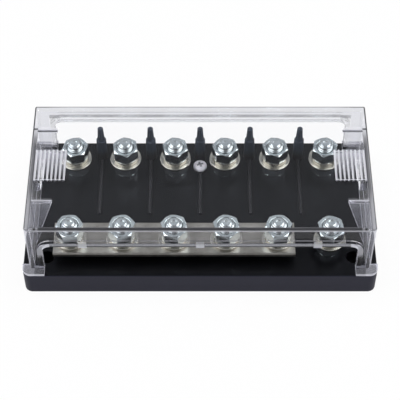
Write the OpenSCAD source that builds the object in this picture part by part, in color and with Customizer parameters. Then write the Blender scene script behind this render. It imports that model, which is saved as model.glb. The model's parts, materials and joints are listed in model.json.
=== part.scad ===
// Multi-way fuse holder: a black moulded base with two rows of M8 terminals, a busbar that feeds
// one row, and a clear lift-off cover with cable gaps front and rear.
// Millimetres. Origin at the middle of the underside, +Z up, +X along the rows, -Y the busbar side.

/* [Layout] */
// Distance between neighbouring ways
way_pitch = 25.6; // [24:0.1:32]
// Distance between the front and rear terminal rows
row_gap = 50.3; // [46:0.1:64]
// From an end terminal to the end of the base
end_margin = 23.5; // [22.5:0.1:30]
// From the front row to the base's front edge
front_margin = 17.6; // [16:0.1:24]
// From the rear row to the base's rear edge
rear_margin = 17.1; // [16:0.1:24]

/* [Base] */
// Height of the base from its underside to the deck
base_h = 13.5; // [12.5:0.1:20]
// Radius of the base's upright corners
base_corner = 4; // [2:0.1:6]
// Rounding along the deck's outer edge
base_edge = 0.8; // [0.3:0.1:1.5]
// Thickness of the skirt round the base
base_wall = 3; // [2.6:0.1:4]
// Thickness of the deck
deck_t = 4.5; // [3:0.1:5]
// Wall of the boss round a bolt head
boss_wall = 2; // [1.6:0.1:2.4]
// Diameter of the mounting holes
mount_hole_d = 7.4; // [5:0.1:8]
// From a mounting hole to the two nearest edges of the base
mount_inset = 11.4; // [11:0.1:12.5]
// Wall of the boss round a mounting hole
mount_boss_wall = 2.6; // [2:0.1:3.5]

/* [Cable posts and ridges] */
// From the rear row back to the middle of the posts
post_offset = 7.8; // [5:0.1:8]
// Foot diameter of a post
post_foot_d = 6; // [5:0.1:7]
// Diameter of a post just below its step
post_neck_d = 5; // [4:0.1:6]
// Diameter of the slim upper part at the step
post_pin_d = 3.7; // [2.8:0.1:3.9]
// Diameter of the slim upper part at its tip
post_tip_d = 2.8; // [2:0.1:2.8]
// Height of the step above the deck
post_step_h = 14; // [10:0.1:17]
// Height of a post above the deck
post_h = 22.6; // [20:0.1:26]
// Width of a ridge between two ways
ridge_w = 1.9; // [1.2:0.1:3]
// Height of a ridge above the deck
ridge_h = 0.8; // [0.4:0.1:1.5]
// How far a ridge stops short of the front row
ridge_stop = 19.9; // [16:0.1:24]

/* [Bottom plate] */
// Thickness of the plate that closes the underside
plate_t = 2.2; // [1.6:0.1:2.4]
// Skirt left outside the plate's rebate
rebate_wall = 1.5; // [1:0.1:2]
// Gap between the plate's edge and the rebate
plate_clear = 0.2; // [0.1:0.05:0.5]
// Diameter of the pillar that takes the plate screw
pillar_d = 6.4; // [5.6:0.1:6.6]

/* [Plate screw] */
// Diameter of the screw's head
screw_head_d = 7; // [6:0.1:8]
// Height of the screw's domed head
screw_head_h = 2.3; // [1.6:0.1:3]
// Diameter of the screw's shank
screw_d = 3.5; // [2.9:0.1:3.9]
// Height of the screw's tip above the underside
screw_tip_z = 2; // [1.5:0.1:4]
// From the cable posts forward to the screw
screw_offset = 7.1; // [6.6:0.1:9.5]
// Gap round the shank in the deck
screw_clear = 0.25; // [0.1:0.05:0.5]

/* [Terminal hardware] */
// Thread diameter of the terminal bolts
bolt_d = 8; // [6:0.5:8]
// Height of a bolt's tip above the deck
stud_reach = 20; // [19:0.1:26]
// Chamfer at a bolt's tip
tip_chamfer = 1.6; // [0.5:0.1:2]
// Height of a bolt's head
head_h = 5.2; // [4:0.1:5.3]
// Gap between a bolt's head and the bottom plate
head_gap = 0.6; // [0.3:0.1:1]
// Width across flats of the nuts and bolt heads
nut_af = 12; // [11:0.1:13.5]
// Height of the nuts that clamp a bolt to the deck
clamp_nut_h = 6.5; // [6:0.1:8]
// Height of the thin clamp nuts under the busbar
thin_nut_h = 4.4; // [3:0.1:5]
// Height of the terminal nuts
nut_h = 6.5; // [5:0.1:8]
// Outer diameter of the flat washers
washer_d = 16; // [14:0.1:18]
// Thickness of the flat washers
washer_t = 1.6; // [1:0.1:2.5]
// Outer diameter of the spring lock washers
lock_d = 12.7; // [12:0.1:16]
// Thickness of the spring lock washers
lock_t = 2.5; // [1.2:0.1:3]
// Width of the split in a lock washer
lock_split = 1; // [0.6:0.1:2]
// Radial gap between a nut or lock washer and its bolt
thread_clear = 0.06; // [0.03:0.01:0.1]
// Radial gap between a bolt and the plain holes it passes
hole_clear = 0.25; // [0.1:0.05:0.5]
// Gap across flats between a bolt head and its pocket
pocket_clear = 0.3; // [0.1:0.05:0.6]

/* [Busbar] */
// Width of the busbar
bar_w = 18.8; // [17:0.1:24]
// Thickness of the busbar
bar_t = 3; // [2:0.1:4]
// How far the busbar runs past its end terminals
bar_end = 8.4; // [8:0.1:12]
// Rounding along the busbar's long edges
bar_round = 0.75; // [0.2:0.05:0.9]

/* [Cover] */
// Height of the cover above the deck
cover_h = 33.5; // [31:0.1:40]
// From the base's long edges in to the cover's walls
cover_inset = 3.4; // [2.5:0.1:4]
// From the base's ends in to the cover's end walls
end_inset = 3.6; // [2.5:0.1:4.5]
// Thickness of the cover's walls
cover_wall = 2.2; // [1.6:0.1:2.6]
// Thickness of the cover's top
cover_top_t = 2.2; // [1.6:0.1:3]
// Radius of the cover's upright corners
cover_corner = 1.5; // [1:0.1:4]
// Rounding along the cover's top edges
cover_edge = 0.6; // [0.4:0.1:2.5]
// Height of the front cable gap above the deck
front_gap_h = 20.4; // [14:0.1:22]
// Height of the rear cable gap above the deck
rear_gap_h = 23.5; // [18:0.1:26]
// Width of a leg beside the front cable gap
front_leg_w = 7.3; // [6:0.1:9]
// Width of a leg beside the rear cable gap
rear_leg_w = 8.9; // [7:0.1:10]
// Corner radius of the cable gaps
gap_corner = 4.2; // [3:0.1:7]
// Width of the rim round the cable gaps
rim_w = 2.3; // [1.5:0.1:3]
// How far the rim stands out on each side of its wall
rim_proud = 0.5; // [0.3:0.1:1]
// Thickness of the corner feet
foot_t = 1.7; // [1.2:0.1:2.5]
// Depth of the corner feet from the long edges
foot_depth = 6.2; // [5:0.1:8]
// Width of the small lugs on the front bridge
lug_w = 4; // [3:0.1:6]
// Height of the small lugs on the front bridge
lug_h = 4.2; // [3:0.1:6]
// How far the small lugs stand out from the front wall
lug_depth = 1; // [0.8:0.1:2]
// Distance from the middle lug to the outer lugs
lug_spacing = 56.5; // [45:0.5:60]

/* [Cover grips and webs] */
// Spacing of the ribs on the grip pads
rib_pitch = 2.05; // [1.6:0.05:2.1]
// Width of a rib on the grip pads
rib_w = 1; // [0.7:0.05:1.2]
// Height of the grip pads' ribs
rib_h = 0.9; // [0.5:0.1:1.5]
// Length of the grip pads along the ribs
grip_l = 19.3; // [14:0.1:26]
// From the cover's end wall in to the first rib
grip_inset = 2.6; // [1.5:0.1:3.5]
// Depth of the stiffening block under a grip pad
block_depth = 3.4; // [1:0.1:4]
// Height of the stiffening block under a grip pad
block_h = 6.3; // [4:0.1:10]
// From the front row in to the front webs
front_web_in = 3.9; // [2:0.1:8]
// From the rear row in to the rear webs
rear_web_in = 1.6; // [1:0.1:8]
// Thickness of the triangular webs
web_t = 1.6; // [1:0.1:2.5]
// Reach of the triangular webs along the cover's top
web_reach = 10.1; // [5:0.1:11]

/* [Hidden] */
$fn = 64;
ways = 6;
ROWS = ["front", "rear"];

// Cutting tools run this far past the faces they open
over = 1;
ribs = 8;
// Half the angle that one side of a hexagon spans
hex_half = 30;
chamfer_angle = 30;
// Share of a nut's width that its flat face keeps
nut_face = 0.95;
countersink = 0.5;
post_round = 0.5;
boss_lift = 0.4;
// Share of a ridge's width that its flat top keeps
ridge_top = 0.7;
// Gap between the middle ridge and the plate screw's head
ridge_gap = 1;
// The screw's recess and brim, as shares of its head, and its point, as shares of its shank
recess_w_share = 0.17;
recess_l_share = 0.5;
recess_z_share = 0.4;
brim_share = 0.35;
point_r_share = 0.3;
point_l_share = 0.2;
recess_turn = 20;
quarter_turn = 90;
dome_steps = 6;
lock_slant = 25;
// Share of a rib's width that rounds each of its shoulders
rib_round_share = 0.4;
// Height of the bars that close the ribs' ends, as a share of the ribs' height
end_bar_share = 0.8;
// How far the stiffening block stops short of a grip pad's ends
block_setback = 0.3;
// How far each nut is turned from having a corner to the front, as found on the object
front_nut_turn = [-24, -16, 16, 12, -22, 9];
rear_nut_turn = [-16, 9, 14, 19, 16, -11];
front_clamp_turn = [0, 0, 0, 0, 0, -9];
rear_clamp_turn = [0, 6, 9, 30, -5, 3];
lock_turn_step = 52;

base_w = (ways - 1) * way_pitch + 2 * end_margin;
base_d = row_gap + front_margin + rear_margin;
front_y = front_margin - base_d / 2;
rear_y = base_d / 2 - rear_margin;
cavity_corner = base_corner / 2;
head_z = plate_t + head_gap;
seat_z = head_z + head_h;
tip_z = base_h + stud_reach;
nut_corner_d = nut_af / cos(hex_half);
pocket_corner_d = (nut_af + pocket_clear) / cos(hex_half);
boss_d = pocket_corner_d + 2 * boss_wall;
nut_bore_d = bolt_d + 2 * thread_clear;
bolt_hole_d = bolt_d + 2 * hole_clear;
mount_x = base_w / 2 - mount_inset;
mount_y = base_d / 2 - mount_inset;
post_y = rear_y + post_offset;
ridge_y = front_y + ridge_stop;
screw_y = post_y - screw_offset;
screw_l = base_h - screw_tip_z;
pillar_floor = screw_tip_z / 2;
cover_w = base_w - 2 * end_inset;
cover_d = base_d - 2 * cover_inset;
cover_in_w = cover_w - 2 * cover_wall;
cover_in_d = cover_d - 2 * cover_wall;
cover_in_corner = cover_corner / 2;
cover_in_edge = cover_edge / 2;
ceiling_h = cover_h - cover_top_t;
rib_round = rib_round_share * rib_w;
block_l = grip_l - 2 * block_setback;
grip_w = (ribs - 1) * rib_pitch + rib_w;
grip_x = cover_w / 2 - grip_inset - grip_w;
bar_l = (ways - 2) * way_pitch + 2 * bar_end;

function way_x(way) = (way - (ways + 1) / 2) * way_pitch;
function row_y(row) = row == "front" ? front_y : rear_y;
// The cover's long walls are told apart by their side, -1 in front and 1 behind
function leg_w(side) = side < 0 ? front_leg_w : rear_leg_w;
function gap_h(side) = side < 0 ? front_gap_h : rear_gap_h;
function gap_w(side) = cover_w - 2 * leg_w(side);
// The busbar lies on every front way but the last
function on_bar(row, way) = row == "front" && way < ways;
function washer_z(row, way) = base_h + (on_bar(row, way) ? thin_nut_h + bar_t : clamp_nut_h);
function lock_z(row, way) = washer_z(row, way) + washer_t;
function nut_z(row, way) = lock_z(row, way) + lock_t;

// Shapes that repeat

// A rectangle about the origin with round corners
module rounded_rect(w, d, r) {
    square([w - 2 * r, d], center = true);
    square([w, d - 2 * r], center = true);
    for (sx = [-1, 1], sy = [-1, 1])
        translate([sx * (w / 2 - r), sy * (d / 2 - r)])
            circle(r);
}

// An upright outline of width w and height h whose two upper corners are round
module arch(w, h, r) {
    translate([-w / 2, 0]) square([w, h - r]);
    translate([r - w / 2, 0]) square([w - 2 * r, h]);
    for (s = [-1, 1])
        translate([s * (w / 2 - r), h - r]) circle(r);
}

// A box with round upright corners and softly rounded top edges
module soft_box(w, d, h, corner, edge) {
    intersection() {
        linear_extrude(h) rounded_rect(w, d, corner);
        along_y(-d / 2 - over, d + 2 * over) arch(w, h, edge);
        translate([-w / 2 - over, 0, 0])
            rotate([90, 0, 90])
                linear_extrude(w + 2 * over) arch(d, h, edge);
    }
}

// Extrudes an upright XZ outline along +Y from y
module along_y(y, length) {
    translate([0, y + length, 0])
        rotate([90, 0, 0])
            linear_extrude(length) children();
}

module at_terminal(row, way) {
    translate([way_x(way), row_y(row), 0]) children();
}

module at_every_terminal() {
    for (row = ROWS, way = [1 : ways]) at_terminal(row, way) children();
}

module at_mount_holes() {
    for (sx = [-1, 1], sy = [-1, 1])
        translate([sx * mount_x, sy * mount_y, 0]) children();
}

// A hexagon of height h with a corner to -Y, its rims cut back by cones where asked
module hexagon(h, chamfer_top, chamfer_foot) {
    flat_r = nut_face * nut_af / 2;
    reach_r = nut_corner_d / 2 + over;
    drop = (reach_r - flat_r) * tan(chamfer_angle);
    intersection() {
        rotate(hex_half) cylinder(h = h, d = nut_corner_d, $fn = 6);
        rotate_extrude()
            polygon([[0, 0], [chamfer_foot ? flat_r : reach_r, 0],
                     [reach_r, chamfer_foot ? drop : 0], [reach_r, chamfer_top ? h - drop : h],
                     [chamfer_top ? flat_r : reach_r, h], [0, h]]);
    }
}

module hex_nut(h, turn) {
    rotate(turn)
        difference() {
            hexagon(h, true, true);
            translate([0, 0, -over]) cylinder(h = h + 2 * over, d = nut_bore_d);
            for (foot = [true, false])
                translate([0, 0, foot ? 0 : h - countersink])
                    cylinder(h = countersink, d1 = nut_bore_d + (foot ? 2 * countersink : 0),
                             d2 = nut_bore_d + (foot ? 0 : 2 * countersink));
        }
}

module ring(h, outer_d, inner_d) {
    difference() {
        cylinder(h = h, d = outer_d);
        translate([0, 0, -over]) cylinder(h = h + 2 * over, d = inner_d);
    }
}

// Base

// A stepped post that parts two cables, standing on the deck
module cable_post() {
    rotate_extrude()
        polygon([[0, -over], [post_foot_d / 2, -over], [post_foot_d / 2, 0],
                 [post_neck_d / 2, post_step_h - post_round], [post_neck_d / 2 - post_round, post_step_h],
                 [post_pin_d / 2, post_step_h + post_round], [post_tip_d / 2, post_h - post_round],
                 [post_tip_d / 2 - post_round, post_h], [0, post_h]]);
}

// A low ridge on the deck that parts two ways, its sides sloping a little
module way_ridge(back_y) {
    top_x = ridge_top * ridge_w / 2;
    along_y(ridge_y, back_y - ridge_y)
        polygon([[-ridge_w / 2, -over], [ridge_w / 2, -over], [ridge_w / 2, 0],
                 [top_x, ridge_h], [-top_x, ridge_h], [-ridge_w / 2, 0]]);
}

module base_shell() {
    difference() {
        soft_box(base_w, base_d, base_h, base_corner, base_edge);
        translate([0, 0, -over])
            linear_extrude(base_h - deck_t + over)
                rounded_rect(base_w - 2 * base_wall, base_d - 2 * base_wall, cavity_corner);
        translate([0, 0, -over])
            linear_extrude(plate_t + over)
                rounded_rect(base_w - 2 * rebate_wall, base_d - 2 * rebate_wall, base_corner);
    }
}

module base() {
    deck_mid = base_h - deck_t / 2;
    color("#27272b")
        difference() {
            union() {
                base_shell();
                at_every_terminal()
                    translate([0, 0, plate_t + boss_lift])
                        cylinder(h = deck_mid - plate_t - boss_lift, d = boss_d);
                at_mount_holes()
                    translate([0, 0, plate_t])
                        cylinder(h = deck_mid - plate_t, d = mount_hole_d + 2 * mount_boss_wall);
                for (gap = [1 : ways - 1])
                    translate([way_x(gap + 0.5), 0, base_h]) {
                        translate([0, post_y, 0]) cable_post();
                        way_ridge(way_x(gap + 0.5) == 0 ? screw_y - screw_head_d / 2 - ridge_gap : post_y);
                    }
            }
            at_every_terminal() {
                cylinder(h = base_h + over, d = bolt_hole_d);
                rotate(hex_half) cylinder(h = seat_z, d = pocket_corner_d, $fn = 6);
            }
            at_mount_holes()
                cylinder(h = base_h + over, d = mount_hole_d);
            translate([0, screw_y, 0]) {
                cylinder(h = base_h + over, d = screw_d + 2 * screw_clear);
                cylinder(h = base_h - deck_t, d = pillar_d + 2 * plate_clear);
            }
        }
}

// Bottom plate, flush with the skirt, its pillar drawn up against the deck by the screw
module bottom_plate() {
    inset = rebate_wall + plate_clear;
    color("#1d1d20")
        difference() {
            union() {
                linear_extrude(plate_t)
                    rounded_rect(base_w - 2 * inset, base_d - 2 * inset, base_corner - plate_clear);
                translate([0, screw_y, 0]) cylinder(h = base_h - deck_t, d = pillar_d);
            }
            at_mount_holes()
                translate([0, 0, -over]) cylinder(h = plate_t + 2 * over, d = mount_hole_d);
            translate([0, screw_y, pillar_floor])
                cylinder(h = base_h, d = screw_d + 2 * thread_clear);
        }
}

// Pan head screw with a cross recess, pointed at its end
module plate_screw() {
    recess_w = recess_w_share * screw_head_d;
    recess_l = recess_l_share * screw_head_d;
    brim = brim_share * screw_head_h;
    color("#c9c8d2")
        translate([0, screw_y, base_h])
            difference() {
                rotate_extrude()
                    polygon([[0, -screw_l], [point_r_share * screw_d, -screw_l],
                             [screw_d / 2, point_l_share * screw_d - screw_l],
                             [screw_d / 2, 0], [screw_head_d / 2, 0], [screw_head_d / 2, brim],
                             for (k = [1 : dome_steps]) let (a = k * quarter_turn / dome_steps)
                                 [screw_head_d / 2 * cos(a), brim + (screw_head_h - brim) * sin(a)]]);
                for (turn = [recess_turn, recess_turn + quarter_turn])
                    rotate(turn)
                        translate([-recess_l / 2, -recess_w / 2, recess_z_share * screw_head_h])
                            cube([recess_l, recess_w, screw_head_h]);
            }
}

// Terminals

// M8 bolt put in from below, its hexagon held in the base
module terminal_bolt() {
    color("#b9bec2") {
        translate([0, 0, head_z]) hexagon(head_h, false, true);
        rotate_extrude()
            polygon([[0, seat_z - head_h / 2], [bolt_d / 2, seat_z - head_h / 2], [bolt_d / 2, tip_z - tip_chamfer],
                     [bolt_d / 2 - tip_chamfer, tip_z], [0, tip_z]]);
    }
}

module terminal_bolts() {
    at_every_terminal() terminal_bolt();
}

module clamp_nuts() {
    color("#aab0b4")
        for (row = ROWS, way = [1 : ways])
            if (!on_bar(row, way))
                at_terminal(row, way)
                    translate([0, 0, base_h])
                        hex_nut(clamp_nut_h, row == "front" ? front_clamp_turn[way - 1] : rear_clamp_turn[way - 1]);
}

module thin_clamp_nuts() {
    color("#aab0b4")
        for (row = ROWS, way = [1 : ways])
            if (on_bar(row, way))
                at_terminal(row, way)
                    translate([0, 0, base_h]) hex_nut(thin_nut_h, front_clamp_turn[way - 1]);
}

module flat_washers() {
    color("#c9c6b4")
        for (row = ROWS, way = [1 : ways])
            at_terminal(row, way)
                translate([0, 0, washer_z(row, way)]) ring(washer_t, washer_d, bolt_hole_d);
}

// Spring washer pressed flat, with its slanting split
module lock_washer(row, way) {
    color("#bfbfb4")
        at_terminal(row, way)
            translate([0, 0, lock_z(row, way)])
                rotate(lock_turn_step * way)
                    difference() {
                        ring(lock_t, lock_d, nut_bore_d);
                        translate([lock_d / 2, 0, lock_t / 2])
                            rotate([lock_slant, 0, 0])
                                cube([lock_d, lock_split, 2 * (lock_t + over)], center = true);
                    }
}

module terminal_nut(row, way) {
    color("#c3c9cd")
        at_terminal(row, way)
            translate([0, 0, nut_z(row, way)])
                hex_nut(nut_h, row == "front" ? front_nut_turn[way - 1] : rear_nut_turn[way - 1]);
}

// Busbar with one hole for each way that it feeds
module busbar() {
    color("#a9a59b")
        translate([0, row_y("front"), base_h + thin_nut_h])
            difference() {
                translate([way_x(1) - bar_end, 0, bar_t / 2])
                    rotate([90, 0, 90])
                        linear_extrude(bar_l) rounded_rect(bar_w, bar_t, bar_round);
                for (way = [1 : ways - 1])
                    translate([way_x(way), 0, -over]) cylinder(h = bar_t + 2 * over, d = bolt_hole_d);
            }
}

// Cover, drawn from the deck up

module cover_shell() {
    difference() {
        soft_box(cover_w, cover_d, cover_h, cover_corner, cover_edge);
        translate([0, 0, -over])
            soft_box(cover_in_w, cover_in_d, ceiling_h + over, cover_in_corner, cover_in_edge);
    }
}

// Both cable gaps as blocks through the long walls, grown outwards and run down below the deck
module gap_pair(grow, depth, drop) {
    for (side = [-1, 1])
        translate([0, 0, -drop])
            along_y(side * (cover_d - cover_wall) / 2 - depth / 2, depth)
                arch(gap_w(side) + 2 * grow, gap_h(side) + grow + drop, gap_corner + grow);
}

// A foot at each corner, from the base's edges to the sides of the cable gaps
module corner_feet() {
    intersection() {
        linear_extrude(foot_t) rounded_rect(base_w, base_d, base_corner);
        for (sx = [-1, 1], sy = [-1, 1]) {
            foot_l = end_inset + leg_w(sy);
            translate([sx * (base_w - foot_l) / 2, sy * (base_d - foot_depth) / 2, foot_t / 2])
                cube([foot_l, foot_depth, foot_t], center = true);
        }
    }
}

// A pad of round-shouldered ribs on the top, closed at its two ends by lower bars
module grip_pad() {
    translate([grip_x, 0, cover_h - over]) {
        for (i = [0 : ribs - 1])
            translate([rib_w / 2 + i * rib_pitch, 0, 0])
                along_y(-grip_l / 2, grip_l) arch(rib_w, rib_h + over, rib_round);
        for (s = [-1, 1])
            translate([rib_w / 2, s * (grip_l / 2 - rib_w) - rib_w / 2, 0])
                cube([grip_w - rib_w, rib_w, end_bar_share * rib_h + over]);
    }
}

// A triangular web between the cover's top and its end wall
module end_web() {
    wall_x = cover_in_w / 2;
    polygon([[wall_x + over, ceiling_h + over], [wall_x - web_reach, ceiling_h + over],
             [wall_x - web_reach, ceiling_h], [wall_x, 0], [wall_x + over, 0]]);
}

module cover_end() {
    grip_pad();
    translate([cover_in_w / 2 - block_depth, -block_l / 2, ceiling_h - block_h])
        cube([block_depth + over, block_l, block_h + over]);
    for (web_y = [front_y + front_web_in, rear_y - rear_web_in])
        along_y(web_y - web_t / 2, web_t) end_web();
}

// Small blocks along the lower edge of the front bridge
module front_lugs() {
    for (k = [-1 : 1])
        translate([k * lug_spacing - lug_w / 2, -cover_d / 2 - lug_depth, front_gap_h])
            cube([lug_w, lug_depth + cover_wall / 2, lug_h]);
}

module cover() {
    rim_depth = cover_wall + 2 * rim_proud;
    color("#e7e9f1", 0.35)
        translate([0, 0, base_h]) {
            difference() {
                union() {
                    cover_shell();
                    gap_pair(rim_w, rim_depth, 0);
                }
                gap_pair(0, rim_depth + 2 * over, over);
            }
            corner_feet();
            front_lugs();
            cover_end();
            mirror([1, 0, 0]) cover_end();
        }
}

base();
bottom_plate();
plate_screw();
busbar();
terminal_bolts();
clamp_nuts();
thin_clamp_nuts();
flat_washers();
for (row = ROWS, way = [1 : ways]) {
    lock_washer(row, way);
    terminal_nut(row, way);
}
cover();
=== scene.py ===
"""Looks of a multi-way fuse holder: black moulded base, zinc hardware, tinned busbar, clear cover.

Everything is in metres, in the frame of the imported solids: +Z up, +X along the rows, -Y the busbar side.
New pieces are numpy surfaces, and each finish is a small tree of shader nodes.
"""

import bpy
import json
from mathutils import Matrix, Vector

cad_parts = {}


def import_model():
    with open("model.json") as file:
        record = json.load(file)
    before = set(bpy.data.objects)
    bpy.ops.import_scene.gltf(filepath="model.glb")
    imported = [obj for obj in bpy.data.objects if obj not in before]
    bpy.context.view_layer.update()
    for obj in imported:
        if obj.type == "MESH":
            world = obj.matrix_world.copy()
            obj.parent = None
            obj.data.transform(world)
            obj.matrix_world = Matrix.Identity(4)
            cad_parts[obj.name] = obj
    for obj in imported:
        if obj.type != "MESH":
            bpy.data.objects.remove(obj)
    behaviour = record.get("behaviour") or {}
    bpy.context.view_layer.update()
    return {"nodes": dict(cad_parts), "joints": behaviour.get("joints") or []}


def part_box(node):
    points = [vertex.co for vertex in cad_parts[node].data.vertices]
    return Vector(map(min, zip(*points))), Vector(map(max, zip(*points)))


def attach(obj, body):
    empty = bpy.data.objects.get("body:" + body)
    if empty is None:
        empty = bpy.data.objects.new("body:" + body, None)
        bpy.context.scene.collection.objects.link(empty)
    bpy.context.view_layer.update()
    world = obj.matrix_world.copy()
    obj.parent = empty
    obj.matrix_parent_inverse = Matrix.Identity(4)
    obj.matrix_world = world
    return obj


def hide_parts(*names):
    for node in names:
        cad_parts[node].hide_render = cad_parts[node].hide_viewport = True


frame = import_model()

import functools
import json
import math
from types import SimpleNamespace

import bpy
import numpy as np

MM = 0.001
ROWS = ("front", "rear")
WAYS = range(1, 7)

# Sizes of the hardware that the boxes of the solids don't give
ACROSS_FLATS = 12 * MM
CORNER_ROUND = 0.35 * MM
FACE_SHARE = 0.985
BEVEL = math.radians(30)
BOLT_R = 4 * MM
BORE_R = 4.06 * MM
PITCH = 1.25 * MM
THREAD_DEPTH = 0.68 * MM
THREAD_FLAT = 0.12
THREAD_SHOWN = 12 * MM
TIP_CHAMFER = 1.6 * MM
FADE_RATE = 2
FADE_LAG = 0.4
DIMPLE_R = 1.3 * MM
DIMPLE_DEPTH = 0.4 * MM
HEAD_H = 5.2 * MM
COUNTERSINK = 0.5 * MM
WASHER_T = 1.6 * MM
WASHER_R = 8 * MM
HOLE_R = 4.25 * MM
LOCK_R = 6.35 * MM
LOCK_SPLIT = 1 * MM
LOCK_SLANT = math.tan(math.radians(25))
RING_PITCH = 0.5 * MM
RECESS_R = 1.75 * MM
RECESS_DOME = 0.6 * MM
NUT_EDGE = 0.16 * MM
WASHER_EDGE = 0.25 * MM
LOCK_EDGE = 0.3 * MM

# How finely the new pieces are divided: round a side, a ring and a rod, and along a turn of thread
SIDE_STEPS = 20
RING_STEPS = 96
ROD_STEPS = 40
COARSE_ROWS = 4
FINE_ROWS = 12

# The turns of the nuts and lock washers, in degrees, as the solids have them
NUT_TURN = {"front": (-24, -16, 16, 12, -22, 9), "rear": (-16, 9, 14, 19, 16, -11)}
CLAMP_TURN = {"front": (0, 0, 0, 0, 0, -9), "rear": (0, 6, 9, 30, -5, 3)}
LOCK_TURN_STEP = 52

# Places on the base where its finish changes
DECK = 13.5 * MM
SKIRT_X = 82 * MM
SKIRT_Y = 38 * MM

# Places on the cover where its finish changes
COVER_TOP = 47 * MM
CEILING = 44.8 * MM
END_WALL = 81.5 * MM
END_FACE = 83.9 * MM
REAR_WALL = 36.2 * MM
REAR_FACE = 39.1 * MM
REAR_RIM_TOP = 39.4 * MM
REAR_RIM_SIDE = 77.4 * MM
REAR_BAND = 40 * MM
FRONT_WALL = -36.2 * MM
FRONT_FACE = -39.1 * MM
RIM_FACE = -39.6 * MM
LUG_FACE = -40.1 * MM
RIM_TOP = 36.2 * MM
SILL = 33.9 * MM
GAP_SIDE = 76.6 * MM
RIM_BEND = 72.4 * MM
FOOT_TOP = 15.2 * MM
WEB_TIP = 71.6 * MM
WEB_MIDDLE = 1.4 * MM
WEB_SPREAD = 22.4 * MM
GRIP_FROM = 65.95 * MM
GRIP_TO = 81.3 * MM
GRIP_HALF = 9.65 * MM
BAR_MIDDLE = 8.65 * MM
BAR_TOP = 47.72 * MM
BLOCK_FROM = 78.3 * MM

# How much diffuse each place of the cover has: milky frosting on scratches, specks and lugs, a pale share on
# feet, hollows and webs, frosting and painted highlights on ribs, painted highlights on web edges and tops,
# rim bend, gap sides, corner posts and foot edges, and painted shade at the places darkened below
HAZE_AND_PAINTED_LIGHT = {
    "scratches": 0.012, "specks": 0.1, "webs": 0.08, "web_edges": 0.7, "web_tops": 0.3,
    "rear_web_tops": 0.25, "ribs": 0.62, "hollows": 0.4, "blocks": 0.1, "lugs": 0.2, "lug_feet": 0.25,
    "feet": 0.12, "foot_edges": 0.5, "gap_sides": 0.2, "rim_bend": 0.4, "posts": 0.3,
    "rear_side_edges": 0.3, "front_end_walls": 0.14, "rear_edge": 0.42, "rear_corners": 0.5,
    "side_edges": 0.6, "web_ends": 0.5, "end_strips": 0.62, "mid_strips": 0.2, "front_edge": 0.97,
    "front_line": 0.5, "rim_sill": 0.28, "sill_line": 0.55, "rim_step": 0.7, "rear_band": 0.3,
    "rear_line": 0.25,
}

# Painted shade lines: how dark the diffuse and the clear moulding are made at edges, rims, strips and bands
# that aren't pale
PAINTED_SHADE_LINES = {
    "rear_edge": 1.0, "side_edges": 1.0, "front_edge": 1.0, "rim_sill": 0.6, "rim_step": 0.85,
    "web_ends": 1.0, "shaded_strips": 1.0, "front_line": 0.2, "sill_line": 0.97, "rear_band": 0.55,
    "rear_line": 0.75,
}
STRIP_SHADE = 0.75
MID_STRIP_SHADE = 0.2

# Shares of other finishes: rays that walls pass straight on, and how much less at the rear rim, dust on
# the base and painted shade in the threads
STRAIGHT_SHARE = 0.8
RIM_LOSS = 0.55
DUST_SHARE = 0.6
GROOVE_SHADE_SHARE = 0.75

# The studio and the camera
FLOOR_REACH = 2.0
FLOOR_DROP = 0.05 * MM
FLOOR_GLOW = 0.94
SHADOW_X = 85 * MM
SHADOW_Y = 40 * MM
SHADOW_SOFT = 2 * MM
BOX_OUT = 0.62
BOX_Y = -0.02
BOX_UP = 0.62
BOX_AIM = (0, 0, 0.02)
BOX_SIZE = (0.9, 0.9)
BOX_POWER = 6
CAMERA_PLACE = (-0.00007, -0.4122, 0.5541)
CAMERA_DOWN = 52.36
CAMERA_LENS = 119.75
CAMERA_SENSOR = 36

AXES = {j["child"]: j["pos_m"] for j in frame["joints"] if j["type"] == "hinge"}


def terminal_xy(row, way):
    """Where the bolt of one terminal stands."""
    return AXES[f"{row}_terminal_nut_{way}"][:2]


def axis_reach(points, centre):
    """Each point's distance from the upright axis through centre."""
    return np.hypot(points[:, 0] - centre[0], points[:, 1] - centre[1])


def z_range(node):
    """Lowest and highest z of a solid."""
    low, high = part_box(node)
    return low[2], high[2]


# Meshes


def put(name, points, faces, material, body, slot, replaced, values=None):
    """A new piece from an (n, 3) array of points and a list of faces, riding on a body.

    It takes the place of the replaced solids. Values are arrays of one number a point, kept under
    their names.
    """
    mesh = bpy.data.meshes.new(name)
    mesh.from_pydata(points.tolist(), [], faces)
    mesh.validate()
    mesh.polygons.foreach_set("use_smooth", np.full(len(mesh.polygons), True))
    mesh.materials.append(material)
    for label, numbers in (values or {}).items():
        mesh.attributes.new(label, "FLOAT", "POINT").data.foreach_set("value", numbers)
    mesh.update()
    piece = bpy.data.objects.new(name, mesh)
    bpy.context.scene.collection.objects.link(piece)
    piece.modifiers.new("flat_faces", "WEIGHTED_NORMAL").mode = "FACE_AREA"
    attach(piece, body)
    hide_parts(*replaced)


def grid_faces(rows, columns, close_rows, close_columns):
    """Quads of a grid of points, row after row, joined end to start where asked.

    Their normal is the cross product of the way along the columns and the way along the rows.
    """
    i = np.arange(rows if close_rows else rows - 1)[:, None]
    j = np.arange(columns if close_columns else columns - 1)[None, :]
    i2 = (i + 1) % rows
    j2 = (j + 1) % columns
    quads = np.stack([i * columns + j, i * columns + j2, i2 * columns + j2, i2 * columns + j], -1)
    return quads.reshape(-1, 4).tolist()


def joined(parts):
    """Several (points, faces) as one, each part's faces moved on past the points before it."""
    points = np.concatenate([p for p, _ in parts])
    starts = np.cumsum([0] + [len(p) for p, _ in parts[:-1]])
    faces = [[k + int(s) for k in f] for (_, part), s in zip(parts, starts) for f in part]
    return points, faces


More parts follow.
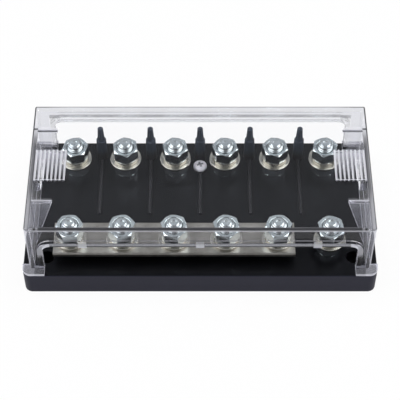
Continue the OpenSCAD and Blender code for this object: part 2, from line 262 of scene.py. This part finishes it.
def softened(profile, radius, steps=3):
    """Closed profiles (..., k, 2) with each corner replaced by a short quadratic curve of that reach."""
    backward = np.roll(profile, 1, -2) - profile
    forward = np.roll(profile, -1, -2) - profile
    backward /= np.linalg.norm(backward, axis=-1, keepdims=True)
    forward /= np.linalg.norm(forward, axis=-1, keepdims=True)
    t = np.linspace(0, 1, steps)[:, None]
    corner = profile[..., None, :]
    start = corner + radius * backward[..., None, :]
    end = corner + radius * forward[..., None, :]
    curve = (1 - t) ** 2 * start + 2 * t * (1 - t) * corner + t ** 2 * end
    return curve.reshape(*profile.shape[:-2], -1, 2)


def revolved(profile, angles, centre):
    """Points of profiles (columns of r, z) carried round +Z: (cx + r cos a, cy + r sin a, z)."""
    profile = np.broadcast_to(profile, (len(angles), *profile.shape[-2:]))
    r, z = profile[..., 0], profile[..., 1]
    a = np.asarray(angles)[:, None]
    return np.stack([centre[0] + r * np.cos(a), centre[1] + r * np.sin(a), z], -1).reshape(-1, 3)


def hexagon_radius(angles, flat, corner_round):
    """Radius of a hexagon with a corner at angle 0 and small round corners.

    It is flat / cos(angle from a flat), and at a corner the far side of a circle of that rounding.
    """
    from_corner = np.abs((angles + math.pi / 6) % (math.pi / 3) - math.pi / 6)
    radius = flat / np.cos(math.pi / 6 - from_corner)
    centre = (flat - corner_round) / math.cos(math.pi / 6)
    tangent = math.atan2(corner_round / 2, centre + corner_round * math.cos(math.pi / 6))
    inside = np.clip(corner_round ** 2 - (centre * np.sin(from_corner)) ** 2, 0, None)
    return np.where(from_corner < tangent, centre * np.cos(from_corner) + np.sqrt(inside), radius)


def hexagon_rim():
    """Angles round a hexagon, closer together at its corners, with the radius of its flanks and face there.

    A cone at the bevel's angle cuts the rim back: the flank starts (radius - face) tan bevel from the face.
    """
    sweep = np.sin(np.linspace(-math.pi / 2, math.pi / 2, SIDE_STEPS, endpoint=False))
    angles = (np.arange(6)[:, None] * math.pi / 3 + math.pi / 6 * (1 + sweep)[None, :]).ravel()
    outer = hexagon_radius(angles, ACROSS_FLATS / 2, CORNER_ROUND)
    face = np.full_like(outer, FACE_SHARE * ACROSS_FLATS / 2)
    return angles, outer, face, (outer - face) * math.tan(BEVEL)


def nut(centre, low, high, turn):
    """A hexagon nut: at each angle the same eight corners, from the bore out to the hexagon's radius."""
    angles, outer, face, drop = hexagon_rim()
    mouth = np.full_like(outer, BORE_R + COUNTERSINK)
    bore = np.full_like(outer, BORE_R)
    foot, top = np.full_like(outer, low), np.full_like(outer, high)
    profile = np.stack([np.stack(p, -1) for p in (
        (bore, foot + COUNTERSINK), (bore, top - COUNTERSINK), (mouth, top), (face, top),
        (outer, top - drop), (outer, foot + drop), (face, foot), (mouth, foot))], 1)
    profile = softened(profile, NUT_EDGE)
    points = revolved(profile, angles + math.radians(turn - 90), centre)
    return points, grid_faces(len(angles), profile.shape[1], True, True)


def bolt_head(centre, low, high):
    """A hexagon head: a three-point profile, cut back below, carried round and closed by two flat caps."""
    angles, outer, face, drop = hexagon_rim()
    foot, top = np.full_like(outer, low), np.full_like(outer, high)
    profile = np.stack([np.stack(p, -1) for p in ((face, foot), (outer, foot + drop), (outer, top))], 1)
    points = revolved(profile, angles - math.pi / 2, centre)
    columns = profile.shape[1]
    ring = np.arange(len(angles)) * columns
    caps = [ring[::-1].tolist(), (ring + columns - 1).tolist()]
    return points, [f[::-1] for f in grid_faces(len(angles), columns, True, False)] + caps


def flat_ring(centre, low, high):
    """A washer: a softened rectangle carried round the bolt."""
    corners = np.array([[HOLE_R, low], [HOLE_R, high], [WASHER_R, high], [WASHER_R, low]])
    profile = softened(corners, WASHER_EDGE)
    angles = np.linspace(0, 2 * math.pi, RING_STEPS, endpoint=False)
    return revolved(profile, angles, centre), grid_faces(len(angles), len(profile), True, True)


def split_ring(centre, low, high, turn):
    """A spring washer pressed flat: a softened rectangle carried round all but the split.

    The split slants, so each point's angle moves back by its height above the middle times the slant over r.
    """
    corners = np.array([[BORE_R, low], [BORE_R, high], [LOCK_R, high], [LOCK_R, low]])
    profile = softened(corners, LOCK_EDGE)
    r, z = profile[:, 0], profile[:, 1]
    share = np.linspace(0, 1, RING_STEPS + 1)[:, None]
    half = LOCK_SPLIT / 2 / r
    lean = (z - (low + high) / 2) * LOCK_SLANT / r
    a = math.radians(turn) - lean + half + share * (2 * math.pi - 2 * half)
    points = np.stack([centre[0] + r * np.cos(a), centre[1] + r * np.sin(a), z + 0 * a], -1).reshape(-1, 3)
    columns = len(profile)
    last = (len(share) - 1) * columns
    ends = [list(range(columns))[::-1], list(range(last, last + columns))]
    return points, grid_faces(len(share), columns, False, True) + ends


def threaded_rod(centre, low, high):
    """A threaded bolt end: r = the chamfered bolt - depth times a clipped triangle wave of the turn.

    The wave runs with z / pitch - angle / 2 pi. The thread fades out on the chamfer's cone, and an end with
    a small dimple closes it. Rows are closer near the tip. Each point's share of the depth comes back too.
    """
    middle = high - THREAD_SHOWN
    coarse = np.linspace(low, middle, int((middle - low) / PITCH * COARSE_ROWS), endpoint=False)
    fine = np.linspace(middle, high, int(THREAD_SHOWN / PITCH * FINE_ROWS))
    z = np.concatenate([coarse, fine])[:, None]
    a = np.linspace(0, 2 * math.pi, ROD_STEPS, endpoint=False)[None, :]
    wave = np.abs((z / PITCH - a / (2 * math.pi)) % 1 * 2 - 1)
    cut = np.clip((wave - THREAD_FLAT) / (1 - 2 * THREAD_FLAT), 0, 1)
    fade = np.clip((high - z) / TIP_CHAMFER * FADE_RATE - FADE_LAG, 0, 1)
    r = np.minimum(BOLT_R, BOLT_R - TIP_CHAMFER + (high - z)) - THREAD_DEPTH * cut * fade
    groove = np.concatenate([cut * fade, np.zeros((2, ROD_STEPS))])
    r = np.concatenate([r, np.full((1, ROD_STEPS), DIMPLE_R), np.full((1, ROD_STEPS), DIMPLE_R / 2)])
    z = np.concatenate([z, [[high], [high - DIMPLE_DEPTH]]])
    rows = len(z)
    points = np.stack([centre[0] + r * np.cos(a), centre[1] + r * np.sin(a), z + 0 * a], -1).reshape(-1, 3)
    ends = [list(range((rows - 1) * ROD_STEPS, rows * ROD_STEPS)), list(range(ROD_STEPS))[::-1]]
    return points, grid_faces(rows, ROD_STEPS, False, True) + ends, groove.ravel()


# Shader nodes


class Wire:
    """A shader socket. Arithmetic on it adds Math nodes, and node() adds any other node."""

    def __init__(self, tree, socket=None):
        self.tree = tree
        self.socket = socket

    def node(self, kind, settings=None, inputs=None, out=0):
        """Adds a node, sets its settings, fills its sockets by name or number, and returns one output."""
        made = self.tree.nodes.new(kind)
        for name, value in (settings or {}).items():
            setattr(made, name, value)
        for key, value in (inputs or {}).items():
            socket = made.inputs[key]
            if isinstance(value, Wire):
                self.tree.links.new(value.socket, socket)
            else:
                socket.default_value = value
        return Wire(self.tree, made.outputs[out] if made.outputs else None)

    def calc(self, operation, *values):
        """A Math node on one or two values."""
        return self.node("ShaderNodeMath", {"operation": operation}, dict(enumerate(values)))

    def __add__(self, other):
        return self.calc("ADD", self, other)

    def __radd__(self, other):
        return self.calc("ADD", other, self)

    def __sub__(self, other):
        return self.calc("SUBTRACT", self, other)

    def __rsub__(self, other):
        return self.calc("SUBTRACT", other, self)

    def __mul__(self, other):
        return self.calc("MULTIPLY", self, other)

    def __rmul__(self, other):
        return self.calc("MULTIPLY", other, self)

    def __abs__(self):
        return self.calc("ABSOLUTE", self)


def rgb(r, g, b):
    """A colour as sockets take it."""
    return (r, g, b, 1.0)


def blank(name):
    """An empty material and a Wire into its tree."""
    material = bpy.data.materials.new(name)
    material.use_nodes = True
    material.node_tree.nodes.clear()
    return material, Wire(material.node_tree)


def surface(wire, shader):
    """Ends a material's tree in a shader."""
    wire.node("ShaderNodeOutputMaterial", {}, {"Surface": shader})


def object_point(wire):
    """The point on the piece, in the frame of the part."""
    return wire.node("ShaderNodeTexCoord", out="Object")


def own_value(wire, name):
    """A number that a piece keeps at its points under a name."""
    return wire.node("ShaderNodeAttribute", {"attribute_name": name}, out="Fac")


def axes(wire, vector):
    """The three parts of a vector."""
    return [wire.node("ShaderNodeSeparateXYZ", {}, {0: vector}, out=axis) for axis in "XYZ"]


def larger(wire, a, b):
    """The larger of two values."""
    return wire.calc("MAXIMUM", a, b)


def noise(wire, point, scale, detail=3.0, roughness=0.55):
    """Soft random patches between 0 and 1, scale of them to a metre."""
    inputs = {"Vector": point, "Scale": scale, "Detail": detail, "Roughness": roughness}
    return wire.node("ShaderNodeTexNoise", {}, inputs)


def mixed(wire, factor, a, b):
    """Colour a where the factor is 0, b where it is 1."""
    return wire.node("ShaderNodeMix", {"data_type": "RGBA"}, {0: factor, 6: a, 7: b}, out=2)


def blended(wire, factor, a, b):
    """Shader a where the factor is 0, b where it is 1."""
    return wire.node("ShaderNodeMixShader", {}, {0: factor, 1: a, 2: b})


def see_through(wire, colour):
    """A shader that passes rays straight on, tinted."""
    return wire.node("ShaderNodeBsdfTransparent", {}, {"Color": colour})


def ramp(wire, value, low, high):
    """0 at low and before it, 1 at high and past it, straight between. Low may be the larger one."""
    return wire.node("ShaderNodeMapRange", {}, {"Value": value, "From Min": low, "From Max": high})


def past(wire, value, edge, soft=0.2 * MM):
    """1 past an edge, 0 before it, straight over a short way."""
    return ramp(wire, value, edge - soft, edge)


def before(wire, value, edge, soft=0.2 * MM):
    """1 before an edge, 0 past it, straight over a short way."""
    return ramp(wire, value, edge + soft, edge)


def stretched(wire, point, scale):
    """A point scaled by another amount along each axis."""
    return wire.node("ShaderNodeMapping", {}, {"Vector": point, "Scale": scale})


def bump(wire, height, distance, strength=1.0):
    """A normal tilted by a relief of that height, times the distance."""
    return wire.node("ShaderNodeBump", {}, {"Height": height, "Distance": distance, "Strength": strength})


def principled(wire, inputs):
    """The general surface shader."""
    return wire.node("ShaderNodeBsdfPrincipled", {}, inputs)


# Finishes

# Painted sheen: the base's skirt is greyer
SKIRT_PAINTED_SHEEN = rgb(0.028, 0.028, 0.042)
DUST_GREY = rgb(0.03, 0.032, 0.033)
# Painted sheen on the base's raised ridges and posts
RIDGE_PAINTED_SHEEN = rgb(0.015, 0.015, 0.016)
POST_PAINTED_SHEEN = rgb(0.03, 0.038, 0.052)
CLEAR_TINT = rgb(0.975, 0.977, 0.988)
# Painted shade on the front faces of the blocks under the grips
BLOCK_PAINTED_SHADE = rgb(0.22, 0.22, 0.26)
# Painted shade that dims the cover's front wall
FRONT_WALL_PAINTED_SHADE = rgb(0.77, 0.77, 0.79)
# Painted shade on the cover's dark edge lines
EDGE_PAINTED_SHADE = rgb(0.16, 0.16, 0.18)
STRAIGHT_TINT = rgb(0.955, 0.958, 0.98)
SHADOW_TINT = rgb(0.86, 0.86, 0.89)
# Pale diffuse: milky frosting and painted highlights
PALE_HAZE_AND_HIGHLIGHT = rgb(0.84, 0.84, 0.91)
# Painted shade lines on the cover
PAINTED_SHADE_GREY = rgb(0.025, 0.025, 0.03)
# Painted shade in the thread grooves and in the screw's cross recess
GROOVE_PAINTED_SHADE = rgb(0.1, 0.105, 0.11)
RECESS_PAINTED_SHADE = rgb(0.42, 0.42, 0.44)
BAR_DULL = rgb(0.34, 0.325, 0.295)
BAR_BRIGHT = rgb(0.46, 0.445, 0.41)


def black_moulding(name, shade, grain_height):
    """Satin black moulding: fine grain, faint flow clouds and dust, with painted sheen greyer on skirt,
    ridges and posts.
    """
    material, w = blank(name)
    p = object_point(w)
    x, y, z = axes(w, p)
    grain = noise(w, p, 2600, 2.0)
    cloud = noise(w, p, 38, 3.0)
    dust = ramp(w, noise(w, p, 1100, 4.0, 0.7), 0.64, 0.7)
    # Painted sheen: the outer sides below the deck are painted greyer
    skirt = larger(w, past(w, abs(x), SKIRT_X), past(w, abs(y), SKIRT_Y)) * before(w, z, DECK - 0.3 * MM)
    # Painted sheen: the raised ridges and the posts are painted lighter
    ridges = past(w, z, DECK + 0.25 * MM, 0.1 * MM)
    posts = past(w, z, DECK + 8 * MM, 5 * MM)
    deep = rgb(*[0.85 * part for part in shade])
    light = rgb(*[1.2 * part for part in shade])
    colour = mixed(w, ramp(w, cloud, 0.35, 0.7), deep, light)
    colour = mixed(w, skirt, colour, SKIRT_PAINTED_SHEEN)
    colour = mixed(w, dust * DUST_SHARE, colour, DUST_GREY)
    colour = mixed(w, ridges, colour, RIDGE_PAINTED_SHEEN)
    colour = mixed(w, posts, colour, POST_PAINTED_SHEEN)
    roughness = 0.24 + cloud * 0.1 + grain * 0.08 + ridges * 0.15 + dust * 0.1
    normal = bump(w, grain, grain_height)
    surface(w, principled(w, {"Base Color": colour, "Roughness": roughness, "Normal": normal,
                              "IOR": 1.28, "Specular Tint": rgb(0.88, 0.9, 1)}))
    return material


def cover_places(w, p):
    """Masks of the cover's places, 1 there and 0 elsewhere, from the point and the way its face looks. They
    place milky frosting, painted highlights and painted shade.
    """
    x, y, z = axes(w, p)
    side = abs(x)
    across, along, upward = axes(w, w.node("ShaderNodeTexCoord", out="Normal"))
    at = SimpleNamespace()

    # Walls, feet and corner posts: a pale share on the feet, painted highlights on the foot edges and corner
    # posts, painted shade dimming the front wall
    at.on_top = past(w, z, COVER_TOP - 0.4 * MM)
    at.end_walls = past(w, side, END_WALL)
    at.feet = before(w, z, FOOT_TOP + 0.1 * MM)
    at.foot_edges = at.feet * ramp(w, abs(upward), 0.6, 0.3)
    in_front = before(w, y, FRONT_WALL)
    at.front_wall = in_front * (1 - at.on_top) * (1 - at.feet)
    at.front_end_walls = at.end_walls * (1 - at.on_top) * before(w, y, -20 * MM, 10 * MM)
    at.posts = past(w, side, END_FACE - 0.9 * MM) * before(w, y, FRONT_FACE + 0.9 * MM)
    at.posts = at.posts * (1 - at.on_top) * (1 - at.feet)

    # Walls that pass rays straight on, less so at the rear rim
    rear_wall = past(w, y, REAR_WALL)
    rear_rim = rear_wall * before(w, z, REAR_RIM_TOP) * before(w, side, REAR_RIM_SIDE)
    rounding = ramp(w, abs(upward), 0.97, 0.85) * at.on_top
    at.through = larger(w, at.end_walls, rear_wall) * (1 - rounding) * (1 - at.feet)
    at.through = at.through * (1 - rear_rim * RIM_LOSS)

    # Edges of the top: painted shade lines along them and on the end strips, and a painted pale line below
    # the front edge
    at.rear_edge = at.on_top * past(w, y, REAR_FACE - 0.8 * MM)
    at.rear_corners = at.rear_edge * past(w, side, END_FACE - 5 * MM, 8 * MM)
    at.side_edges = at.on_top * past(w, side, END_FACE - 0.7 * MM)
    at.rear_side_edges = at.side_edges * past(w, y, 25 * MM, 25 * MM)
    front_top = before(w, y, FRONT_FACE + 1.4 * MM) * past(w, z, COVER_TOP - 0.35 * MM)
    at.front_edge = front_top * before(w, side, GAP_SIDE, 2 * MM)
    at.front_line = before(w, y, FRONT_FACE + 0.3 * MM) * past(w, z, COVER_TOP - 1.4 * MM) * (1 - front_top)
    at.end_strips = at.on_top * at.end_walls * before(w, y, 18 * MM, 12 * MM) * (1 - at.side_edges)
    at.mid_strips = at.end_strips * before(w, abs(y), 14 * MM, 10 * MM)
    at.shaded_strips = at.end_strips * STRIP_SHADE + at.mid_strips * MID_STRIP_SHADE

    # Band inside the rear wall, and the rim and lugs of the front gap: painted shade on the band and the
    # rim's lines, painted highlights on the rim bend and gap sides, frosted lugs
    at.rear_band = rear_wall * before(w, y, REAR_WALL + 0.3 * MM) * before(w, abs(z - REAR_BAND), 1.1 * MM)
    at.rear_band = at.rear_band * before(w, side, REAR_RIM_SIDE - 3 * MM, 3 * MM)
    at.rear_line = at.rear_band * past(w, z, REAR_BAND + 0.9 * MM)
    at.lugs = before(w, y, LUG_FACE + 0.3 * MM) * past(w, z, SILL - 0.4 * MM)
    at.lug_feet = at.lugs * before(w, z, SILL + 0.4 * MM)
    rim = before(w, y, RIM_FACE + 0.1 * MM) * (1 - at.lugs) * (1 - at.feet)
    at.rim_bend = rim * past(w, side, RIM_BEND) * past(w, z, SILL - 6 * MM, 3 * MM)
    at.rim_sill = rim * before(w, side, RIM_BEND)
    at.sill_line = at.rim_sill * before(w, z, SILL + 0.7 * MM, 0.5 * MM)
    at.rim_step = in_front * ramp(w, upward, 0.5, 0.8) * before(w, abs(z - RIM_TOP), 0.4 * MM)
    at.rim_step = at.rim_step * before(w, side, RIM_BEND)
    at.gap_sides = ramp(w, abs(across), 0.6, 0.9) * in_front * before(w, side, GAP_SIDE + 1 * MM)

    # Webs: a pale share on them, painted highlights on their front edges and tops, painted shade at their
    # ends
    from_web = abs(abs(y - WEB_MIDDLE) - WEB_SPREAD)
    at.webs = before(w, from_web, 0.9 * MM) * past(w, side, WEB_TIP) * (1 - at.end_walls)
    web_fronts = before(w, y + (WEB_SPREAD - WEB_MIDDLE), -0.1 * MM) * at.webs
    at.web_edges = web_fronts * ramp(w, abs(along), 0.6, 0.3) * before(w, z, CEILING - 0.1 * MM)
    at.web_tops = web_fronts * at.on_top
    at.rear_web_tops = at.webs * at.on_top * past(w, y, 0.0)
    at.web_ends = at.on_top * at.end_walls * before(w, abs(y - WEB_MIDDLE - WEB_SPREAD), 0.5 * MM)

    # Grips: their ribs without the two end bars, the hollows between, and the blocks below; frosting and
    # painted highlights on the ribs, painted shade on the blocks' front faces
    grips = past(w, side, GRIP_FROM) * before(w, side, GRIP_TO) * before(w, abs(y), GRIP_HALF) * at.on_top
    below_ribs = before(w, z, BAR_TOP + 0.05 * MM, 0.05 * MM)
    rear_bar = before(w, abs(y - BAR_MIDDLE), 0.7 * MM) * below_ribs
    front_bar = before(w, abs(y + BAR_MIDDLE - 0.4 * MM), 0.5 * MM) * below_ribs
    at.ribs = past(w, z, COVER_TOP + 0.25 * MM) * ramp(w, upward, 0.4, 0.75)
    at.ribs = at.ribs * (1 - larger(w, rear_bar, front_bar))
    at.hollows = grips * ramp(w, y, -7 * MM, 9 * MM) * (1 - at.ribs)
    # Painted shade: the blocks' front faces are darkened
    at.blocks = ramp(w, along, -0.5, -0.8) * past(w, side, BLOCK_FROM) * before(w, abs(y), GRIP_HALF)
    at.blocks = at.blocks * before(w, z, CEILING)
    return at


def clear_moulding():
    """Clear moulding, faintly lilac and milky: polished on top, satin at its ends, frosted on lugs and ribs.

    End and rear walls pass most rays straight on. A share of pale diffuse gives milky frosting in places and
    painted highlights in others; dark at some edges and lines, it is painted shade, and the front wall and
    blocks are painted darker. Shadow rays pass, so lamps light what is inside.
    """
    material, w = blank("clear_moulding")
    p = object_point(w)
    at = cover_places(w, p)
    hairs = noise(w, stretched(w, p, (900, 120, 900)), 1.0, 4.0, 0.7)
    swell = noise(w, p, 60, 1.0)
    at.scratches = ramp(w, hairs, 0.6, 0.85)
    at.specks = ramp(w, noise(w, p, 1500, 2.0), 0.7, 0.76) * at.on_top

    # Pale diffuse share: milky frosting in places, painted highlights and painted shade lines at others
    haze_and_painted_light = sum(getattr(at, place) * share for place, share in HAZE_AND_PAINTED_LIGHT.items())
    # Painted shade lines: how dark each place's diffuse and glass are made
    shades = [getattr(at, place) * share for place, share in PAINTED_SHADE_LINES.items()]
    dark = functools.reduce(functools.partial(larger, w), shades)
    # Painted shade: the blocks' front faces
    tint = mixed(w, at.blocks, CLEAR_TINT, BLOCK_PAINTED_SHADE)
    # Painted shade: the front wall dimmed
    tint = mixed(w, at.front_wall, tint, FRONT_WALL_PAINTED_SHADE)
    # Painted shade: the dark edge lines
    tint = mixed(w, dark, tint, EDGE_PAINTED_SHADE)
    roughness = 0.01 + ramp(w, hairs, 0.62, 0.8) * 0.04 + at.end_walls * 0.1 + at.lugs * 0.3
    normal = bump(w, swell, 0.03 * MM, 0.1)
    glass = principled(w, {"Base Color": tint, "Roughness": roughness, "Normal": normal, "IOR": 1.34,
                           "Specular Tint": rgb(0.72, 0.72, 0.74), "Transmission Weight": 1.0})
    clear = blended(w, at.through * STRAIGHT_SHARE, glass, see_through(w, STRAIGHT_TINT))
    haze_and_painted_colour = mixed(w, dark, PALE_HAZE_AND_HIGHLIGHT, PAINTED_SHADE_GREY)
    hazy_and_painted = principled(w, {"Base Color": haze_and_painted_colour, "Roughness": 0.55, "IOR": 1.49})
    body = blended(w, haze_and_painted_light, clear, hazy_and_painted)
    shadow = w.node("ShaderNodeLightPath", out="Is Shadow Ray")
    surface(w, blended(w, shadow, body, see_through(w, SHADOW_TINT)))
    return material


def screw_recess(w, p):
    """1 in the screw's cross recess: below the dome and near the axis."""
    low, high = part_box("plate_screw")
    x, y, z = axes(w, p)
    y = y - (low[1] + high[1]) / 2
    near = before(w, x * x + y * y, RECESS_R ** 2, 0.2 * RECESS_R ** 2)
    return near * before(w, z, high[2] - RECESS_DOME)


def zinc(name, bright, deep, smooth, metal=1.0, turned=False, grooved=False, recessed=False):
    """Zinc plate: cool or warm silver in soft patches, fine plating grain and a few rubbed streaks.

    Turned plate has fine rings about the axis that its points' reach is measured from. Grooved plate has
    painted shade in the thread, and recessed plate painted shade in the cross of the screw.
    """
    material, w = blank(name)
    p = object_point(w)
    patch = noise(w, p, 260, 3.0)
    grain = noise(w, p, 3200, 2.0)
    streak = noise(w, stretched(w, p, (400, 400, 2600)), 1.0, 2.0)
    colour = mixed(w, ramp(w, patch, 0.3, 0.7), rgb(*deep), rgb(*bright))
    relief = (grain + streak) * 0.4
    if grooved:
        # Painted shade in the thread grooves
        colour = mixed(w, own_value(w, "groove") * GROOVE_SHADE_SHARE, colour, GROOVE_PAINTED_SHADE)
    if recessed:
        # Painted shade in the screw's cross recess
        colour = mixed(w, screw_recess(w, p), colour, RECESS_PAINTED_SHADE)
    if turned:
        relief = relief + w.calc("SINE", own_value(w, "reach") * (2 * math.pi / RING_PITCH))
    roughness = smooth + patch * 0.06 + ramp(w, streak, 0.5, 0.8) * 0.06
    surface(w, principled(w, {"Base Color": colour, "Metallic": metal, "Roughness": roughness,
                              "Normal": bump(w, relief, 0.01 * MM)}))
    return material


def tinned_bar():
    """Dull tin plate on rolled bar: warm grey, drawn lines along the bar and small cloudy stains."""
    material, w = blank("tinned_bar")
    p = object_point(w)
    drawn = noise(w, stretched(w, p, (25, 2600, 2600)), 1.0, 3.0)
    stain = noise(w, p, 140, 4.0)
    colour = mixed(w, ramp(w, stain, 0.35, 0.7), BAR_DULL, BAR_BRIGHT)
    roughness = 0.2 + stain * 0.12 + drawn * 0.1
    surface(w, principled(w, {"Base Color": colour, "Metallic": 1.0, "Roughness": roughness,
                              "Normal": bump(w, drawn, 0.01 * MM)}))
    return material


def dress(node, material):
    """Gives a shown solid its finish."""
    piece = frame["nodes"][node]
    piece.data.materials.clear()
    piece.data.materials.append(material)


ZINC = zinc("zinc_steel", (0.77, 0.84, 0.85), (0.65, 0.72, 0.735), 0.11)
WASHER_ZINC = zinc("washer_zinc", (0.64, 0.625, 0.57), (0.53, 0.515, 0.46), 0.15, turned=True)
BOLT_ZINC = zinc("bolt_zinc", (0.72, 0.78, 0.79), (0.6, 0.66, 0.68), 0.19, grooved=True)
LOCK_ZINC = zinc("lock_zinc", (0.57, 0.56, 0.505), (0.43, 0.42, 0.375), 0.18)
SCREW_ZINC = zinc("screw_zinc", (0.97, 0.95, 1.0), (0.88, 0.86, 0.91), 0.4, 0.25, recessed=True)

dress("base", black_moulding("base_plastic", (0.0013, 0.0014, 0.0018), 0.0025 * MM))
dress("bottom_plate", black_moulding("plate_plastic", (0.004, 0.004, 0.005), 0.03 * MM))
dress("plate_screw", SCREW_ZINC)
dress("busbar", tinned_bar())
dress("cover", clear_moulding())

# Hardware


def terminal_hardware():
    """Nuts and lock washers on their own bodies, and the fixed bolts, clamp nuts and flat washers."""
    deck = z_range("clamp_nuts")[0]
    foot, tip = z_range("terminal_bolts")
    thin_top = z_range("thin_clamp_nuts")[1]
    rods, grooves, clamps, thins, washers, reaches = [], [], [], [], [], []
    for row in ROWS:
        for way in WAYS:
            centre = terminal_xy(row, way)
            nut_node = f"{row}_terminal_nut_{way}"
            lock_node = f"{row}_lock_washer_{way}"
            lock_low, lock_high = z_range(lock_node)
            put(f"{nut_node}_hex", *nut(centre, *z_range(nut_node), NUT_TURN[row][way - 1]), ZINC,
                nut_node, "zinc_steel", [nut_node])
            points, faces = split_ring(centre, lock_low, lock_high, LOCK_TURN_STEP * way)
            put(f"{lock_node}_ring", points, faces, LOCK_ZINC, lock_node, "washer_zinc", [lock_node])
            washers.append(flat_ring(centre, lock_low - WASHER_T, lock_low))
            reaches.append(axis_reach(washers[-1][0], centre))
            head = bolt_head(centre, foot, foot + HEAD_H)
            points, faces, groove = threaded_rod(centre, foot + HEAD_H, tip)
            rods += [head, (points, faces)]
            grooves += [np.zeros(len(head[0])), groove]
            on_bar = row == "front" and way < WAYS[-1]
            top = thin_top if on_bar else lock_low - WASHER_T
            (thins if on_bar else clamps).append(nut(centre, deck, top, CLAMP_TURN[row][way - 1]))
    put("threaded_bolts", *joined(rods), BOLT_ZINC, "holder", "zinc_steel", ["terminal_bolts"],
        {"groove": np.concatenate(grooves)})
    put("deck_nuts", *joined(clamps), ZINC, "holder", "zinc_steel", ["clamp_nuts"])
    put("thin_deck_nuts", *joined(thins), ZINC, "holder", "zinc_steel", ["thin_clamp_nuts"])
    put("plain_washers", *joined(washers), WASHER_ZINC, "holder", "washer_zinc", ["flat_washers"],
        {"reach": np.concatenate(reaches)})


terminal_hardware()

# Stage

MIRRORED_FLOOR = rgb(0.45, 0.45, 0.46)
STUDIO_DIM = rgb(0.09, 0.09, 0.095)
STUDIO_BACK = rgb(0.49, 0.505, 0.525)
STUDIO_AHEAD = rgb(0.3, 0.315, 0.335)
STUDIO_LOW = rgb(0.75, 0.75, 0.77)


def floor():
    """A white floor that keeps a soft shadow: mostly its own light, the rest lit, and open from below.

    It is darker where only a mirror shows it, and has no light of its own under the part.
    """
    material, w = blank("white_floor")
    rays = ("Camera", "Glossy", "Transmission")
    seen, glossy, passed = [w.node("ShaderNodeLightPath", out=f"Is {ray} Ray") for ray in rays]
    white = mixed(w, glossy * (1 - passed), rgb(1, 1, 1), MIRRORED_FLOOR)
    own = w.node("ShaderNodeEmission", {}, {"Color": white, "Strength": 1.0})
    lit = w.node("ShaderNodeBsdfDiffuse", {}, {"Color": rgb(0.9, 0.9, 0.9)})
    x, y, _ = axes(w, object_point(w))
    beside = ramp(w, abs(x), SHADOW_X, SHADOW_X + SHADOW_SOFT)
    clear = larger(w, beside, ramp(w, abs(y), SHADOW_Y, SHADOW_Y + SHADOW_SOFT))
    share = w.calc("MINIMUM", seen + glossy + passed, 1.0) * clear * FLOOR_GLOW
    below = w.node("ShaderNodeNewGeometry", out="Backfacing")
    surface(w, blended(w, below, blended(w, share, lit, own), see_through(w, rgb(1, 1, 1))))
    square = np.array([[-1, -1, 0], [1, -1, 0], [1, 1, 0], [-1, 1, 0]])
    corners = square * FLOOR_REACH - [0, 0, FLOOR_DROP]
    mesh = bpy.data.meshes.new("floor")
    mesh.from_pydata(corners.tolist(), [], [[0, 1, 2, 3]])
    mesh.materials.append(material)
    plane = bpy.data.objects.new("floor", mesh)
    bpy.context.scene.collection.objects.link(plane)


def sky():
    """A dim studio, pale along the floor, softly lit behind and a little in front, for metal to mirror."""
    world = bpy.data.worlds.new("studio")
    bpy.context.scene.world = world
    world.use_nodes = True
    world.node_tree.nodes.clear()
    w = Wire(world.node_tree)
    way = w.node("ShaderNodeTexCoord", out="Generated")
    _, back, up = axes(w, way)
    low = ramp(w, up, 0.35, 0.0)
    behind = ramp(w, back, 0.2, 0.5) * (1 - low)
    ahead = ramp(w, back, -0.45, -0.7)
    shade = mixed(w, behind, STUDIO_DIM, STUDIO_BACK)
    shade = mixed(w, ahead, shade, STUDIO_AHEAD)
    shade = mixed(w, low, shade, STUDIO_LOW)
    light = w.node("ShaderNodeBackground", {}, {"Color": shade, "Strength": 1.0})
    w.node("ShaderNodeOutputWorld", {}, {"Surface": light})


def softbox(name, place):
    """A rectangular lamp at place that faces the part."""
    lamp = bpy.data.lights.new(name, "AREA")
    lamp.shape = "RECTANGLE"
    lamp.size, lamp.size_y = BOX_SIZE
    lamp.energy = BOX_POWER
    thing = bpy.data.objects.new(name, lamp)
    thing.location = place
    way = np.subtract(BOX_AIM, place)
    flat = math.hypot(way[0], way[1])
    thing.rotation_euler = (math.atan2(flat, -way[2]), 0, math.atan2(way[1], way[0]) - math.pi / 2)
    bpy.context.scene.collection.objects.link(thing)


def camera():
    """The photograph's view: straight on, looking down at 52 degrees through a long lens."""
    data = bpy.data.cameras.new("camera")
    data.sensor_width = CAMERA_SENSOR
    data.lens = CAMERA_LENS
    thing = bpy.data.objects.new("camera", data)
    thing.location = CAMERA_PLACE
    thing.rotation_euler = (math.radians(90 - CAMERA_DOWN), 0, 0)
    bpy.context.scene.collection.objects.link(thing)
    bpy.context.scene.camera = thing


floor()
sky()
softbox("left_box", (-BOX_OUT, BOX_Y, BOX_UP))
softbox("right_box", (BOX_OUT, BOX_Y, BOX_UP))
camera()
bpy.context.scene.view_settings.view_transform = "Standard"
